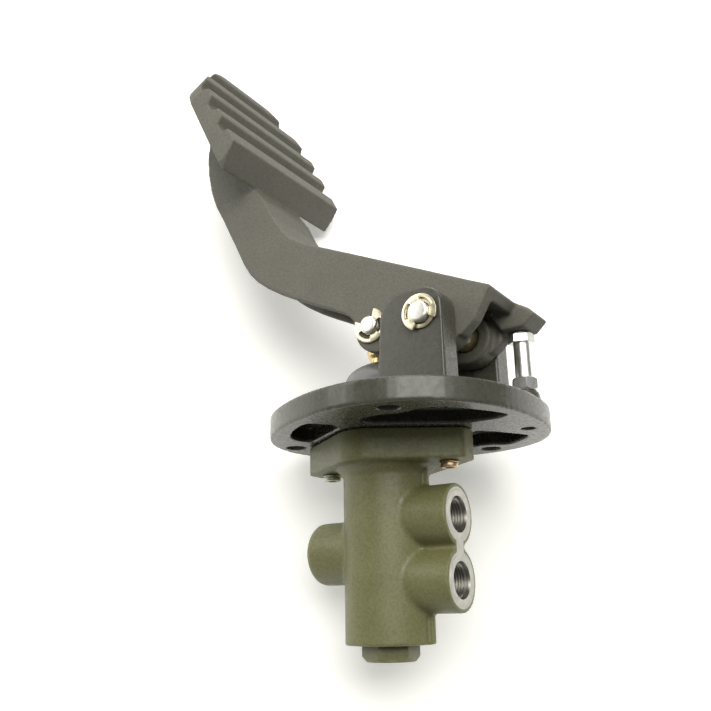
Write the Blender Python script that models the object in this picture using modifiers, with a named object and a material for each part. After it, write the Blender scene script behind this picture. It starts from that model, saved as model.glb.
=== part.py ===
"""Foot-pedal hydraulic brake valve, modelled in Blender.

Frame: +Z is the valve's axis with the pedal on top, +X points to the two
ports that stand one above the other, and the pivot pin runs along Y.
The origin is the centre of the mounting plate's underside.
Every length below is in millimetres, and MM turns it into metres.
"""
import math

import bmesh
import bpy
from mathutils import Matrix, Vector

MM = 0.001
GAP = 0.3                      # clearance between pieces that touch

# Mounting plate: a three-lobed disc with two pivot lugs
PLATE_T = 10.8
PLATE_R = 68.0
PLATE_LOBE = 3.6
PLATE_EDGE = 1.2
POCKET_DEPTH = 7.4
BOLT_HOLE_R = 5.25
BOLT_HOLES = ((-68.9, 8.4), (73.2, 9.1), (188.5, 5.8))   # angle, distance in from PLATE_R
BOLT_WALL = 6.3                # metal left round a bolt hole
RIM_WALL = 9.6                 # metal left between a recess and PLATE_R
LUG_PLAY = 1.0                 # between the pedal's arm and a lug
LUG_T = 14.0
LUG_X0 = 4.0
LUG_X1 = 38.5
LUG_TOP = 59.0
LUG_EDGE = 3.0

# Pivot of the pedal, and the roller pin that pushes the plunger
PIVOT = (28.4, 46.4)
PIVOT_R = 5.0
WASHER_R = 7.3
ROLL = (-7.6, 52.0)
ROLL_PIN_R = 4.5
ROLLER_R = 6.1
ROLLER_HALF = 7.5
E_RING_R = 8.7
E_RING_T = 0.9

# Pedal casting: an inverted channel with a ribbed tread
ARM_HALF = 21.0
LUG_IN = ARM_HALF + LUG_PLAY
LUG_OUT = LUG_IN + LUG_T
PIVOT_END = LUG_OUT + 4.2
ROLL_PIN_END = ARM_HALF + 3.2
WALL = 5.5
TAIL_WALL = 8.0                # from the pivot back
WEB = 6.0
BOSS_IN = 8.5
BOSS_R = 13.0
BUSH_R = 6.9
TREAD_TILT = math.atan2(0.447, 0.894)
TREAD_BACK = -7.2
TREAD_VALLEY = 2.6
TREAD_TIP = 7.4
TREAD_HALF = 49.7
TREAD_LOW = 171.4
TREAD_TOP = 261.2
RIB_LIP = (180.0, 189.6)
RIB_TIPS = (201.2, 219.2, 237.2, 254.6)
RIB_FLAT = 6.8
RIB_SLOPE = 2.8
TAIL_LOW = 46.8

# Stop bolt under the pedal's tail
STOP = (52.8, 20.0)
STOP_R = 4.1
STOP_AF = 11.2
STOP_HEAD_T = 4.7
STOP_NUT_T = 6.4
STOP_BOSS = 17.5
STOP_BOSS_R = 6.4
STOP_LOW = 2.8

# Valve body, hung under the plate
AX = -14.0
FLANGE_X = -12.5
FLANGE_T = 14.2
FLANGE_HALF_X = 43.6
FLANGE_HALF_Y = 36.0
FLANGE_NOSE_CUT = 8.0          # how much of each long corner is cut off square
FLANGE_BOLT_INSET = 10.6
FLANGE_BOLT_X = FLANGE_HALF_X - FLANGE_BOLT_INSET
FLANGE_SCREW_R = 3.0
FLANGE_HEAD_R = 4.8
FLANGE_HEAD_T = 2.3
BODY_R = 20.7
BODY_LOW_R = 20.2
BODY_BOTTOM = -95.4
PORT_Z = (-39.1, -68.1)
PORT_FACE_X = 23.85
PORT_FACE_R = 11.4
PORT_BOSS_R = 14.2
PORT_HOLE_R = 7.9
PORT_DEPTH = 15.0
WEB_HALF = 4.4
FIN_HALF = 1.5
FIN_OUT = 23.2
SIDE_PORT_Z = -53.5
SIDE_PORT_X = -52.5
SIDE_BOSS_R = 15.0
CAVITY_R = 14.5
CAVITY_LOW = -33.6
SPOOL_BORE_R = 7.0
PLUG_BORE_R = 9.3
PLUG_AF = 25.0
PLUG_HEAD_T = 6.9

# Moving valve parts
PLUNGER_TOP = ROLL[1] - ROLLER_R - GAP
PLUNGER_R = 6.0
HUB_R = 13.6
FLANGE_LOW = 3.0
SEAT_TOP = -27.5
SPOOL_TOP = -30.6
SPOOL_LOW = -76.0
PLUG_SHANK_TOP = -86.4
BOOT_R = 19.8
BOOT_TOP = 38.0
BOOT_WALL = 1.8

for old in list(bpy.data.objects):
    bpy.data.objects.remove(old, do_unlink=True)

PARTS = bpy.data.collections.new("brake_valve")
CUTTERS = bpy.data.collections.new("cutters")
bpy.context.scene.collection.children.link(PARTS)
bpy.context.scene.collection.children.link(CUTTERS)


def material(name, colour, rough, metal):
    mat = bpy.data.materials.new(name)
    mat.use_nodes = True
    shader = mat.node_tree.nodes["Principled BSDF"]
    shader.inputs["Base Color"].default_value = (*colour, 1.0)
    shader.inputs["Roughness"].default_value = rough
    shader.inputs["Metallic"].default_value = metal
    return mat


PLATE_PAINT = material("plate_paint", (0.075, 0.074, 0.066), 0.42, 0.0)
PEDAL_PAINT = material("pedal_paint", (0.13, 0.128, 0.112), 0.55, 0.0)
BODY_PAINT = material("body_paint", (0.155, 0.155, 0.085), 0.45, 0.0)
STEEL = material("pin_steel", (0.62, 0.61, 0.58), 0.25, 1.0)
RING = material("yellow_zinc", (0.66, 0.62, 0.42), 0.35, 1.0)
ZINC = material("bright_zinc", (0.7, 0.71, 0.7), 0.3, 1.0)
BRASS = material("brass", (0.75, 0.56, 0.28), 0.3, 1.0)
RUBBER = material("boot_rubber", (0.16, 0.17, 0.19), 0.5, 0.0)
SEAL = material("black_rubber", (0.02, 0.02, 0.02), 0.6, 0.0)
SPRING = material("spring_steel", (0.4, 0.4, 0.39), 0.35, 1.0)


def keep(obj, mat=None):
    """Put an object in the parts' collection, or in the cutters'."""
    for group in list(obj.users_collection):
        group.objects.unlink(obj)
    if mat is None:
        CUTTERS.objects.link(obj)
        obj.hide_render = True
        obj.display_type = "WIRE"
    else:
        PARTS.objects.link(obj)
        obj.data.materials.append(mat)
        obj.data.shade_smooth()
        obj.data.set_sharp_from_angle(angle=math.radians(32))
    return obj


def flat(name, points, low, high, mat=None, frame=Matrix.Identity(4)):
    """A flat outline with a thickness, from a 2D curve made into a mesh."""
    curve = bpy.data.curves.new(name, "CURVE")
    curve.dimensions = "2D"
    curve.fill_mode = "BOTH"
    curve.extrude = (high - low) * MM / 2
    spline = curve.splines.new("POLY")
    spline.points.add(len(points) - 1)
    for spot, (x, y) in zip(spline.points, points):
        spot.co = (x * MM, y * MM, 0.0, 1.0)
    spline.use_cyclic_u = True
    guide = bpy.data.objects.new(name + "_curve", curve)
    bpy.context.scene.collection.objects.link(guide)
    bpy.context.view_layer.update()
    graph = bpy.context.evaluated_depsgraph_get()
    mesh = bpy.data.meshes.new_from_object(guide.evaluated_get(graph))
    bpy.data.objects.remove(guide, do_unlink=True)
    shift = Matrix.Translation((0, 0, (low + high) * MM / 2))
    mesh.transform(frame @ shift)
    shape = bmesh.new()
    shape.from_mesh(mesh)
    bmesh.ops.remove_doubles(shape, verts=shape.verts, dist=0.000001)
    bmesh.ops.recalc_face_normals(shape, faces=shape.faces)
    shape.to_mesh(mesh)
    shape.free()
    mesh.name = name
    return keep(bpy.data.objects.new(name, mesh), mat)


def side(name, points, y0, y1, mat=None):
    """An outline in X and Z, extruded along Y."""
    upright = Matrix.Rotation(math.radians(90), 4, "X")
    return flat(name, points, -y1, -y0, mat, upright)


def turned(name, profile, mat=None, steps=40, spot=(0, 0, 0), aim="Z"):
    """A turned shape: a profile of (radius, height) down the outer side."""
    mesh = bpy.data.meshes.new(name)
    ends_on_axis = profile[0][0] == 0 and profile[-1][0] == 0
    verts = [(r * MM, 0.0, z * MM) for r, z in profile]
    edges = [(i, i + 1) for i in range(len(verts) - 1)]
    if not ends_on_axis:
        edges.append((len(verts) - 1, 0))
    mesh.from_pydata(verts, edges, [])
    obj = bpy.data.objects.new(name, mesh)
    keep(obj, mat)
    screw = obj.modifiers.new("turn", "SCREW")
    screw.axis = "Z"
    screw.angle = math.tau
    screw.steps = steps
    screw.render_steps = steps
    screw.use_merge_vertices = True
    screw.merge_threshold = 0.00001
    screw.use_smooth_shade = True
    if aim == "X":
        obj.rotation_euler = (0, math.radians(90), 0)
    if aim == "-X":
        obj.rotation_euler = (0, math.radians(-90), 0)
    if aim == "-Y":
        obj.rotation_euler = (math.radians(90), 0, 0)
    obj.location = Vector(spot) * MM
    return obj


def box(name, low, high, mat=None):
    bpy.ops.mesh.primitive_cube_add(size=1.0)
    obj = bpy.context.object
    obj.name = name
    size = [(b - a) * MM for a, b in zip(low, high)]
    mid = [(a + b) * MM / 2 for a, b in zip(low, high)]
    obj.data.transform(Matrix.Translation(mid) @ Matrix.Diagonal((*size, 1.0)))
    return keep(obj, mat)


def hexagon(name, flats, low, high, spot, mat=None, turn=30.0):
    bpy.ops.mesh.primitive_cylinder_add(
        vertices=6, radius=flats / math.sqrt(3) * MM, depth=(high - low) * MM)
    obj = bpy.context.object
    obj.name = name
    place = Matrix.Translation((spot[0] * MM, spot[1] * MM, (low + high) * MM / 2))
    obj.data.transform(place @ Matrix.Rotation(math.radians(turn), 4, "Z"))
    return keep(obj, mat)


def boolean(obj, other, how):
    mod = obj.modifiers.new(how.lower() + "_" + other.name, "BOOLEAN")
    mod.operation = how
    mod.solver = "EXACT"
    mod.object = other


def join(obj, *others):
    for other in others:
        boolean(obj, other, "UNION")


def cut(obj, *others):
    for other in others:
        boolean(obj, other, "DIFFERENCE")


def soften(obj, width, segments=2):
    mod = obj.modifiers.new("soft_edges", "BEVEL")
    mod.width = width * MM
    mod.segments = segments
    mod.limit_method = "ANGLE"
    mod.angle_limit = math.radians(50)


def drill(name, radius, low, high, spot, aim="Z", steps=28):
    """A plain round cutter, its heights measured from spot along aim."""
    return turned(name, [(0, high), (radius, high), (radius, low), (0, low)],
                  None, steps, spot, aim)


def arc(cx, cy, radius, start, stop, count):
    """Points on a circle from one angle to another, in degrees."""
    step = (stop - start) / count
    angles = [math.radians(start + step * i) for i in range(count + 1)]
    return [(cx + radius * math.cos(a), cy + radius * math.sin(a)) for a in angles]


def rounded(points, radii, count=4):
    """A closed outline with each corner turned into a short arc."""
    out = []
    total = len(points)
    for i, corner in enumerate(points):
        radius = radii[i % len(radii)]
        here = Vector(corner)
        back = (Vector(points[i - 1]) - here)
        ahead = (Vector(points[(i + 1) % total]) - here)
        reach = min(radius, back.length * 0.45, ahead.length * 0.45)
        start = here + back.normalized() * reach
        stop = here + ahead.normalized() * reach
        for k in range(count + 1):
            t = k / count
            out.append(tuple(start * (1 - t) ** 2 + here * 2 * t * (1 - t) + stop * t ** 2))
    return out


def offset_path(points, distance):
    """An open path moved sideways, to the left of its direction."""
    out = []
    for i, spot in enumerate(points):
        before = Vector(points[max(i - 1, 0)])
        after = Vector(points[min(i + 1, len(points) - 1)])
        run = (after - before).normalized()
        out.append((spot[0] - run.y * distance, spot[1] + run.x * distance))
    return out


def axis_empty(name, spot):
    empty = bpy.data.objects.new(name, None)
    empty.location = Vector(spot) * MM
    empty.empty_display_size = 0.02
    PARTS.objects.link(empty)
    return empty


def ride(empty, *parts):
    for obj in parts:
        obj.parent = empty
        obj.matrix_parent_inverse = Matrix.Translation(-empty.location)


def plate_outline():
    points = []
    for i in range(96):
        a = math.tau * i / 96
        r = PLATE_R + PLATE_LOBE * math.cos(3 * (a - math.radians(60)))
        points.append((r * math.cos(a), r * math.sin(a)))
    return points


def from_rim(angle, inset):
    """A point of the plate, by its angle and its distance in from PLATE_R."""
    a = math.radians(angle)
    r = PLATE_R - inset
    return (r * math.cos(a), r * math.sin(a))


def pocket_outlines():
    """Four recesses in the underside, between the hub, the spokes and the rim."""
    near_bolt, far_bolt = from_rim(*BOLT_HOLES[0]), from_rim(*BOLT_HOLES[1])
    round_bolt = BOLT_HOLE_R + BOLT_WALL
    rim = PLATE_R - RIM_WALL
    near_right = [from_rim(-85.5, 21.3)] + arc(*near_bolt, round_bolt, 132, 48, 4)
    near_right += arc(0, 0, rim, -52, -13, 8)
    near_right += [from_rim(-10.3, 16.7), from_rim(-15.7, 33.2), from_rim(-93.3, 32.9),
                   from_rim(-92.7, 26.0)]
    far_right = [from_rim(17.0, 35.6), from_rim(26.1, 24.8), from_rim(31.8, 18.6),
                 from_rim(35.7, 10.6)]
    far_right += arc(0, 0, rim + 0.8, 40, 60, 5)
    far_right += arc(*far_bolt, round_bolt, -38, -140, 4)
    far_right += [from_rim(90.0, 20.5), from_rim(94.3, 27.9), from_rim(93.3, 32.9)]
    near_left = arc(0, 0, rim - 1.2, -113, -148, 7)
    near_left += [from_rim(204.4, 13.6), from_rim(199.0, 18.8), from_rim(244.1, 29.1),
                  from_rim(250.0, 21.2)]
    far_left = [(x, -y) for x, y in reversed(near_left)]
    return near_right, far_right, near_left, far_left


def lug_outline():
    low = PLATE_T - 1.5
    shape = [(LUG_X0 - 0.2, low), (LUG_X1 + 0.4, low), (LUG_X1, LUG_TOP - 9.0)]
    shape += arc(LUG_X1 - 9.0, LUG_TOP - 9.0, 9.0, 0, 90, 6)[1:]
    shape += arc(LUG_X0 + 14.5, LUG_TOP - 12.0, 12.0, 90, 180, 6)
    return shape


def make_plate():
    plate = flat("mounting_plate", plate_outline(), 0.0, PLATE_T, PLATE_PAINT)
    soften(plate, PLATE_EDGE)
    for name, y0, y1 in (("near", -LUG_OUT, -LUG_IN), ("far", LUG_IN, LUG_OUT)):
        lug = side("lug_" + name, lug_outline(), y0, y1)
        soften(lug, LUG_EDGE)
        join(plate, lug)
    boss = turned("stop_boss", [(0, STOP_BOSS), (STOP_BOSS_R - 0.6, STOP_BOSS),
                                (STOP_BOSS_R, STOP_BOSS - 0.6), (STOP_BOSS_R + 1.4, PLATE_T - 2),
                                (0, PLATE_T - 2)],
                  None, 28, (STOP[0], STOP[1], 0))
    hub = turned("hub_ring", [(0, 13.4), (17.4, 13.4), (18.4, 12.6), (18.8, 9.0), (0, 9.0)],
                 None, 36, (AX, 0, 0))
    join(plate, boss, hub)
    for i, outline in enumerate(pocket_outlines()):
        pocket = flat("pocket_%d" % i, rounded(outline, [2.5], 2), -3.0, POCKET_DEPTH)
        cut(plate, pocket)
    for i, place in enumerate(BOLT_HOLES):
        cut(plate, drill("bolt_hole_%d" % i, BOLT_HOLE_R, -2, PLATE_T + 2,
                         (*from_rim(*place), 0), "Z", 24))
    cut(plate, drill("hub_bore", HUB_R, -2, 16, (AX, 0, 0), "Z", 36))
    cut(plate, turned("stop_thread", [(0, STOP_BOSS + 2), (STOP_R + GAP, STOP_BOSS + 2),
                                      (STOP_R + GAP, STOP_LOW - GAP), (STOP_R - 0.7, 1.6),
                                      (STOP_R - 0.7, -2), (0, -2)],
                      None, 24, (STOP[0], STOP[1], 0)))
    for i, x in enumerate((-FLANGE_BOLT_X, FLANGE_BOLT_X)):
        cut(plate, drill("tapped_%d" % i, FLANGE_SCREW_R + GAP, -2, 7.5, (FLANGE_X + x, 0, 0), "Z", 20))
    cut(plate, drill("pivot_bore", PIVOT_R + GAP, -45, 45, (PIVOT[0], 0, PIVOT[1]), "-Y", 28))
    return plate


def upper_outline():
    """Top of the channel, from the tread's lower edge down to the tail."""
    return [(-84.0, 151.6), (-75.0, 139.4), (-70.2, 129.2), (-63.8, 119.8),
            (-58.2, 113.6), (-52.7, 109.6), (-46.5, 106.2), (-39.8, 103.2),
            (-20.1, 94.2), (23.1, 74.1), (44.8, 63.9), (56.1, 58.8)]


def lower_outline():
    """Lower edge of the side walls, from the tail up to behind the tread."""
    path = [(40.4, 38.2)]
    path += arc(PIVOT[0], PIVOT[1], BOSS_R + 0.2, -40, -96, 5)
    path += [(12.0, 35.2), (2.0, 37.2)]
    path += arc(-4.5, 50.2, 11.9, -98, -178, 6)
    path += [(-18.0, 57.2), (-21.5, 60.8), (-30.0, 65.2), (-42.0, 70.8),
             (-54.9, 77.0), (-65.2, 82.4), (-73.0, 87.2), (-79.6, 92.2),
             (-85.2, 98.0), (-89.9, 105.0), (-96.1, 117.2), (-106.4, 137.0),
             (-112.4, 147.6), (-116.6, 158.4), (-119.4, 171.0), (-120.4, 182.0),
             (-119.6, 192.0), (-117.0, 202.0), (-112.0, 210.0)]
    return path


def arm_outline():
    return [(-88.6, 166.0), (-85.6, 156.0)] + upper_outline() + [(47.1, 44.0)] + lower_outline() \
        + [(-103.6, 200.5)]


def channel_outlines():
    """The hollow of the channel, open below: its whole length, and up to the pivot."""
    roof = offset_path(upper_outline()[1:], -WEB)
    lead = [(tread_spot(s, TREAD_BACK - 0.01)) for s in (262.0, 180.0)]
    end = roof[-1]
    tail = [(end[0] + 20.0, end[1] - 9.0), (80.0, 15.0)]
    behind = [(-160.0, 15.0), (-160.0, 228.0)]
    return lead + roof + tail + behind, lead + roof[:-2] + [(roof[-3][0], 15.0)] + behind


def tread_spot(s, n):
    """A point of the tread's own frame, s up its face and n out of it."""
    c, k = math.cos(TREAD_TILT), math.sin(TREAD_TILT)
    return (n * c - s * k, s * c + n * k)


def tread_profile():
    """Section of the ribbed tread, as (n, s)."""
    shape = [(TREAD_BACK, TREAD_LOW), (TREAD_TIP, RIB_LIP[0]), (TREAD_TIP, RIB_LIP[1]),
             (TREAD_VALLEY, RIB_LIP[1] + RIB_SLOPE)]
    for tip in RIB_TIPS[:-1]:
        shape += [(TREAD_VALLEY, tip - RIB_SLOPE), (TREAD_TIP, tip), (TREAD_TIP, tip + RIB_FLAT),
                  (TREAD_VALLEY, tip + RIB_FLAT + RIB_SLOPE)]
    last = RIB_TIPS[-1]
    shape += [(TREAD_VALLEY, last - RIB_SLOPE), (TREAD_TIP, last), (TREAD_TIP, TREAD_TOP - 0.6),
              (TREAD_TIP - 0.8, TREAD_TOP), (TREAD_BACK, TREAD_TOP)]
    return shape


def tread_plan():
    """The tread's outline seen square to its face, as (y, s)."""
    right = [(44.7, TREAD_LOW - 1.0), (48.2, TREAD_LOW + 0.6), (TREAD_HALF, TREAD_LOW + 4.5),
             (TREAD_HALF, TREAD_TOP - 33.0), (TREAD_HALF - 1.5, TREAD_TOP - 27.0),
             (TREAD_HALF - 4.2, TREAD_TOP - 22.0), (TREAD_HALF - 7.2, TREAD_TOP - 17.9),
             (TREAD_HALF - 12.6, TREAD_TOP - 11.6), (TREAD_HALF - 18.0, TREAD_TOP - 6.2),
             (TREAD_HALF - 22.2, TREAD_TOP - 2.7), (TREAD_HALF - 27.7, TREAD_TOP - 0.7),
             (TREAD_HALF - 33.7, TREAD_TOP + 0.3)]
    return right + [(-y, s) for y, s in reversed(right)]


def make_pedal():
    out = Vector((math.cos(TREAD_TILT), 0, math.sin(TREAD_TILT)))
    up = Vector((-math.sin(TREAD_TILT), 0, math.cos(TREAD_TILT)))
    across = Vector((0, 1, 0))
    section = Matrix((out, up, -across)).transposed().to_4x4()
    face = Matrix((across, up, out)).transposed().to_4x4()
    half = TREAD_HALF + 2.0
    tread = flat("tread", tread_profile(), -half, half, None, section)
    boolean(tread, flat("tread_plan", tread_plan(), -12.0, 12.0, None, face), "INTERSECT")
    pedal = side("pedal", arm_outline(), -ARM_HALF, ARM_HALF, PEDAL_PAINT)
    for name, outline, wall in zip(("tail_channel", "arm_channel"), channel_outlines(),
                                   (TAIL_WALL, WALL)):
        cut(pedal, side(name, outline, wall - ARM_HALF, ARM_HALF - wall))
    tab = [(44.0, 64.3), (56.1, 58.8), (61.5, 55.6), (64.6, TAIL_LOW + 5.4),
           (58.8, TAIL_LOW), (47.0, TAIL_LOW), (42.0, 55.0)]
    join(pedal, side("tail_tab", tab, 9.0, 26.0), tread)
    for name, a, b in (("near", BOSS_IN, ARM_HALF - 0.5), ("far", 0.5 - ARM_HALF, -BOSS_IN)):
        boss = turned("pivot_boss_" + name, [(0, b), (BOSS_R - 0.8, b), (BOSS_R, b - 0.8),
                                             (BOSS_R, a + 0.8), (BOSS_R - 0.8, a), (0, a)],
                      None, 32, (PIVOT[0], 0, PIVOT[1]), "-Y")
        join(pedal, boss)
    cut(pedal, box("stop_face", (45.6, 12.0, TAIL_LOW - 8.0), (62.0, 30.0, TAIL_LOW)),
        drill("bush_bore", BUSH_R + GAP, -30, 30, (PIVOT[0], 0, PIVOT[1]), "-Y", 28),
        drill("roll_bore", ROLL_PIN_R + GAP, -30, 30, (ROLL[0], 0, ROLL[1]), "-Y", 24))
    return pedal


def pin_profile(radius, end, groove):
    """A headless pin with a ring groove near each end."""
    deep = radius * 0.74
    wide = E_RING_T / 2 + GAP
    half = [(0, end), (radius - 0.6, end), (radius, end - 0.6), (radius, groove + wide),
            (deep, groove + wide), (deep, groove - wide), (radius, groove - wide)]
    return half + [(r, -z) for r, z in reversed(half)]


def e_ring(name, pin_radius, y, open_at, spot):
    """A retaining ring: a C with three prongs that reach into the groove."""
    inner = pin_radius + 0.9
    grip = pin_radius * 0.74 + GAP
    mouth = 42.0
    points = arc(0, 0, E_RING_R, mouth, 360 - mouth, 26)
    for lo, hi, r in ((360 - mouth, 360 - mouth - 26, grip), (292, 203, inner),
                      (196, 164, grip), (157, 68, inner), (mouth + 26, mouth, grip)):
        points += arc(0, 0, r, lo, hi, 5)
    turn = math.radians(open_at)
    c, k = math.cos(turn), math.sin(turn)
    placed = [(spot[0] + x * c - z * k, spot[1] + x * k + z * c) for x, z in points]
    return side(name, placed, y - E_RING_T / 2, y + E_RING_T / 2, RING)


def tube(name, inner, outer, half, mat, spot, steps=32, centre=0.0):
    low, high = centre - half, centre + half
    profile = [(outer - 0.3, high), (outer, high - 0.3), (outer, low + 0.3),
               (outer - 0.3, low), (inner, low), (inner, high)]
    return turned(name, profile, mat, steps, (spot[0], 0, spot[1]), "-Y")


def make_pivot():
    washer = LUG_OUT + GAP + 0.4
    ring = LUG_OUT + 2 * GAP + 0.8 + E_RING_T / 2
    turned("pivot_pin", pin_profile(PIVOT_R, PIVOT_END, ring), STEEL, 28,
           (PIVOT[0], 0, PIVOT[1]), "-Y")
    for name, sign, turn in (("near", -1, -68), ("far", 1, 60)):
        e_ring("pivot_ring_" + name, PIVOT_R, sign * ring, turn, PIVOT)
        tube("pivot_washer_" + name, PIVOT_R + GAP, WASHER_R, 0.4, RING, PIVOT, 32, -sign * washer)
    return tube("pivot_bush", PIVOT_R + GAP, BUSH_R, LUG_IN - GAP, BRASS, PIVOT)


def make_roller():
    ring = ARM_HALF + GAP + E_RING_T / 2
    pin = turned("roller_pin", pin_profile(ROLL_PIN_R, ROLL_PIN_END, ring), STEEL, 28,
                 (ROLL[0], 0, ROLL[1]), "-Y")
    rings = [e_ring("roller_ring_near", ROLL_PIN_R, -ring, 115, ROLL),
             e_ring("roller_ring_far", ROLL_PIN_R, ring, 140, ROLL)]
    reach = (ARM_HALF - WALL - ROLLER_HALF) / 2 - GAP
    centre = (ARM_HALF - WALL + ROLLER_HALF) / 2
    spacers = [tube("roller_spacer_near", ROLL_PIN_R + GAP, ROLLER_R - 0.2, reach, RING, ROLL, 24, centre),
               tube("roller_spacer_far", ROLL_PIN_R + GAP, ROLLER_R - 0.2, reach, RING, ROLL, 24, -centre)]
    roller = tube("roller", ROLL_PIN_R + GAP, ROLLER_R, ROLLER_HALF, STEEL, ROLL, 36)
    return [pin] + rings + spacers, roller


def chamfered_hex(name, flats, low, high, spot, mat, turn, low_cut=0.0, high_cut=0.0):
    """A hexagon whose corners are turned off towards its faces."""
    obj = hexagon(name, flats, low, high, spot, mat, turn)
    corner = flats / math.sqrt(3)
    rim = [(0, high + 0.01), (corner - high_cut, high + 0.01), (corner + 0.2, high - high_cut * 0.55)]
    foot = [(corner + 0.2, low + low_cut * 0.55), (corner - low_cut, low - 0.01), (0, low - 0.01)]
    boolean(obj, turned(name + "_turning", rim + foot, None, 36, (spot[0], spot[1], 0)),
            "INTERSECT")
    return obj


def make_stop():
    top = TAIL_LOW - GAP
    head = top - STOP_HEAD_T
    bolt = chamfered_hex("stop_bolt", STOP_AF, head, top, STOP, ZINC, -12.6, 0.0, 0.9)
    shank = turned("stop_shank", [(0, head + 1), (STOP_R, head + 1),
                                  (STOP_R, STOP_LOW + 1), (STOP_R - 0.9, STOP_LOW),
                                  (0, STOP_LOW)], None, 24, (STOP[0], STOP[1], 0))
    join(bolt, shank)
    seat = STOP_BOSS + GAP
    nut = chamfered_hex("stop_nut", STOP_AF, seat, seat + STOP_NUT_T, STOP, ZINC, 28, 0.8, 0.8)
    cut(nut, drill("nut_bore", STOP_R + GAP, seat - 4, seat + STOP_NUT_T + 4,
                   (STOP[0], STOP[1], 0), "Z", 24))


def make_flange_bolts():
    """Two low socket screws with thin washers, turned up into the plate."""
    under = -2 * GAP - FLANGE_T
    reach = FLANGE_SCREW_R
    for name, x in (("left", -FLANGE_BOLT_X), ("right", FLANGE_BOLT_X)):
        spot = (FLANGE_X + x, 0, 0)
        low = under - 0.8
        rim = FLANGE_HEAD_R + 0.4
        turned("flange_washer_" + name, [(rim, under), (rim, low), (reach + GAP, low),
                                         (reach + GAP, under)], RING, 24, spot)
        top = low - GAP
        foot = top - FLANGE_HEAD_T
        bolt = turned("flange_bolt_" + name,
                      [(0, 6.5), (reach - 0.7, 6.5), (reach, 5.8), (reach, top),
                       (FLANGE_HEAD_R, top), (FLANGE_HEAD_R, foot + 0.5),
                       (FLANGE_HEAD_R - 0.5, foot), (0, foot)], RING, 24, spot)
        cut(bolt, hexagon("socket_" + name, 4.2, foot - 1, foot + 1.5, spot, None, 10))


def flange_outline():
    long = FLANGE_HALF_X + FLANGE_NOSE_CUT
    end_y = FLANGE_HALF_Y * FLANGE_NOSE_CUT / long
    corners = [(FLANGE_HALF_X, -end_y), (FLANGE_HALF_X, end_y), (0, FLANGE_HALF_Y),
               (-FLANGE_HALF_X, end_y), (-FLANGE_HALF_X, -end_y), (0, -FLANGE_HALF_Y)]
    return [(x + FLANGE_X, y) for x, y in rounded(corners, [1.8, 1.8, 12.0], 5)]


def boss_profile(length, radius, face, lead):
    """A boss from inside the barrel out to its machined face."""
    return [(0, length), (face, length), (radius - 0.3, length - lead),
            (radius, length - lead - 1.2), (radius, 4.0), (0, 4.0)]


def port_profile(depth, length):
    """A tapped port: countersink, thread bore and drilled passage."""
    mouth = length + 1.0
    return [(0, mouth), (PORT_HOLE_R + 1.7, mouth), (PORT_HOLE_R, length - 0.7),
            (PORT_HOLE_R, length - depth), (4.0, length - depth - 1.6), (4.0, 3.0), (0, 3.0)]


def make_body():
    body = turned("valve_body", barrel_profile(0.0), BODY_PAINT, 40, (AX, 0, 0))
    flange = flat("body_flange", flange_outline(), -GAP - FLANGE_T, -GAP)
    soften(flange, 0.8)
    root = turned("flange_root", [(0, -10.0), (25.5, -10.0), (23.6, -15.6), (21.6, -17.6),
                                  (20.0, -20.0), (0, -20.0)], None, 36, (AX, 0, 0))
    join(body, flange, root)
    top, low = PORT_Z
    reach = PORT_BOSS_R + GAP
    join(body, box("lower_fin", (AX + 12, -FIN_HALF, BODY_BOTTOM + 1.4),
                   (AX + FIN_OUT, FIN_HALF, low - reach)),
         box("upper_fin", (AX + 12, -FIN_HALF, top + reach), (AX + FIN_OUT, FIN_HALF, -13.0)))
    cut(body, turned("body_bore", [(0, 2.0), (CAVITY_R, 2.0), (CAVITY_R, CAVITY_LOW),
                                   (SPOOL_BORE_R, CAVITY_LOW), (SPOOL_BORE_R, -83.0),
                                   (PLUG_BORE_R, -85.3), (PLUG_BORE_R, -99.0), (0, -99.0)],
                     None, 32, (AX, 0, 0)))
    for i, x in enumerate((-FLANGE_BOLT_X, FLANGE_BOLT_X)):
        cut(body, drill("flange_hole_%d" % i, FLANGE_SCREW_R + GAP, -40, 3,
                        (FLANGE_X + x, 0, 0), "Z", 20))
    make_ports(body)


def barrel_profile(grown):
    """Outside of the barrel, or the room that it takes."""
    return [(0, -6.0), (BODY_R + grown, -6.0), (BODY_LOW_R + grown, BODY_BOTTOM + 0.8),
            (BODY_LOW_R - 0.8 + grown, BODY_BOTTOM), (0, BODY_BOTTOM)]


def make_ports(body):
    """The bosses, saddled on the barrel, each bored through into it."""
    length = PORT_FACE_X - AX
    reach = AX - SIDE_PORT_X
    top, low = PORT_Z
    room = turned("barrel_room", barrel_profile(GAP), None, 40, (AX, 0, 0))
    outline = boss_profile(length, PORT_BOSS_R, PORT_FACE_R, 2.6)
    ports = turned("port_block", outline, BODY_PAINT, 28, (AX, 0, top), "X")
    join(ports, turned("lower_boss", outline, None, 28, (AX, 0, low), "X"),
         box("port_web", (AX + 5, -WEB_HALF, low), (PORT_FACE_X - 0.6, WEB_HALF, top)))
    side_boss = turned("side_port_boss", boss_profile(reach, SIDE_BOSS_R, PORT_FACE_R, 4.2),
                       BODY_PAINT, 28, (AX, 0, SIDE_PORT_Z), "-X")
    cut(ports, room)
    cut(side_boss, room)
    for i, z in enumerate(PORT_Z):
        bore = turned("port_bore_%d" % i, port_profile(PORT_DEPTH, length), None, 24,
                      (AX, 0, z), "X")
        cut(ports, bore)
        cut(body, bore)
    bore = turned("side_bore", port_profile(PORT_DEPTH - 1.0, reach), None, 24,
                  (AX, 0, SIDE_PORT_Z), "-X")
    cut(side_boss, bore)
    cut(body, bore)


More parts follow.
